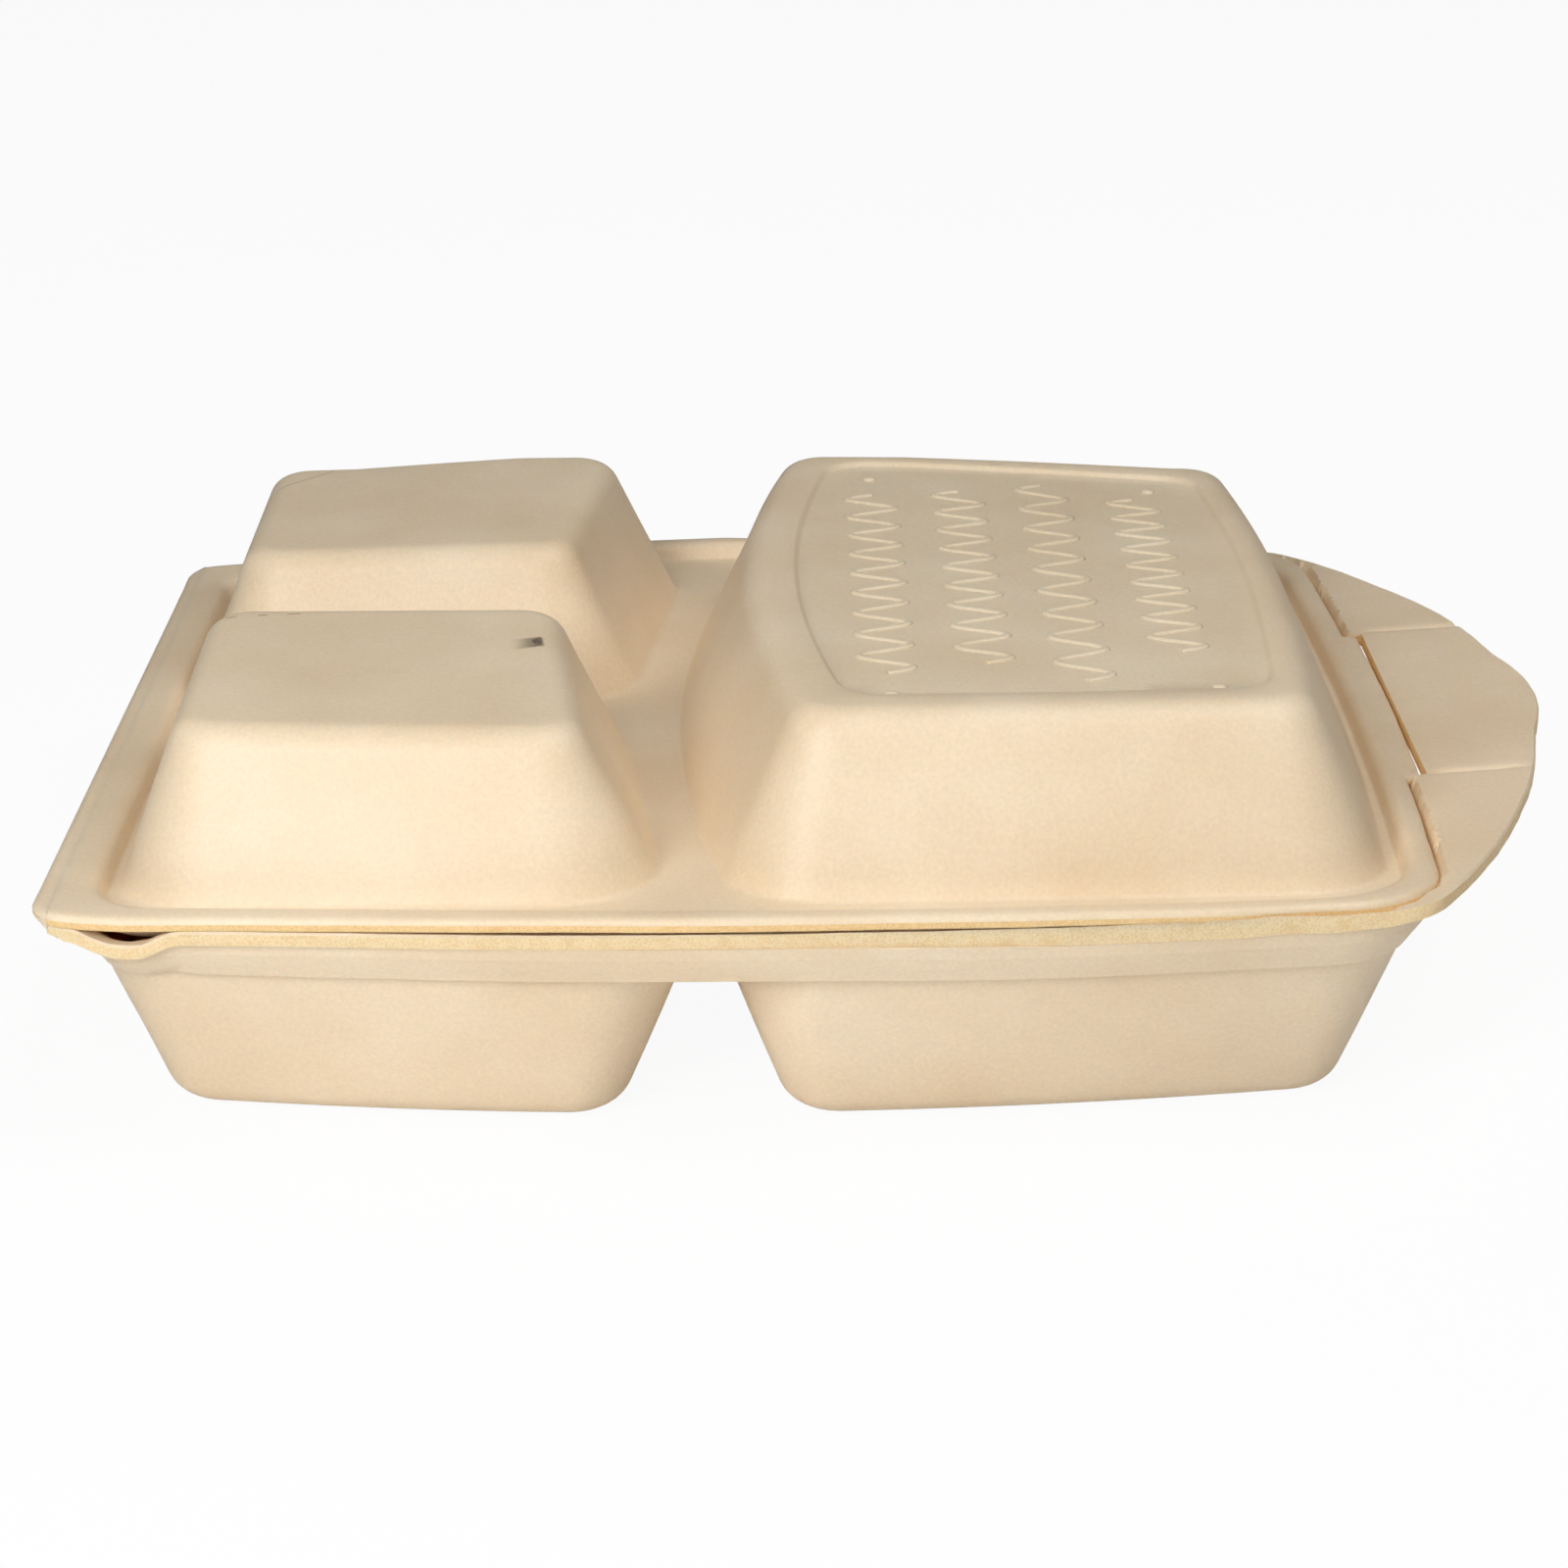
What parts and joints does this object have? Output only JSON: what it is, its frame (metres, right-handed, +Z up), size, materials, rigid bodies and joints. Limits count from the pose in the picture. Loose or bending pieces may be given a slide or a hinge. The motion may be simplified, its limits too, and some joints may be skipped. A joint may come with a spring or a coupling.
{
  "type": "food container",
  "caption": "Closed takeaway menu box of cream foam, with domed lid compartments, a fold along one side and a locking tab at the front.",
  "frame": {"origin": "centre of the bounding box at its underside, where the compartment floors rest on the table", "axes": "+X from the fold to the locking tab, +Y along the fold, +Z up"},
  "size_m": [0.2421, 0.211, 0.0628],
  "materials": {
    "foam_base": "matte foam skin",
    "foam_lid": "matte foam skin"
  },
  "bodies": {
    "base": {"base": "foam_base"},
    "lid": {"lid": "foam_lid"}
  },
  "joints": [
    {"name": "lid_hinge", "type": "hinge", "parent": "base", "child": "lid", "pos_m": [-0.11965, 0, 0.03615], "axis": [0, -1, 0], "range_deg": [0, 180]}
  ]
}
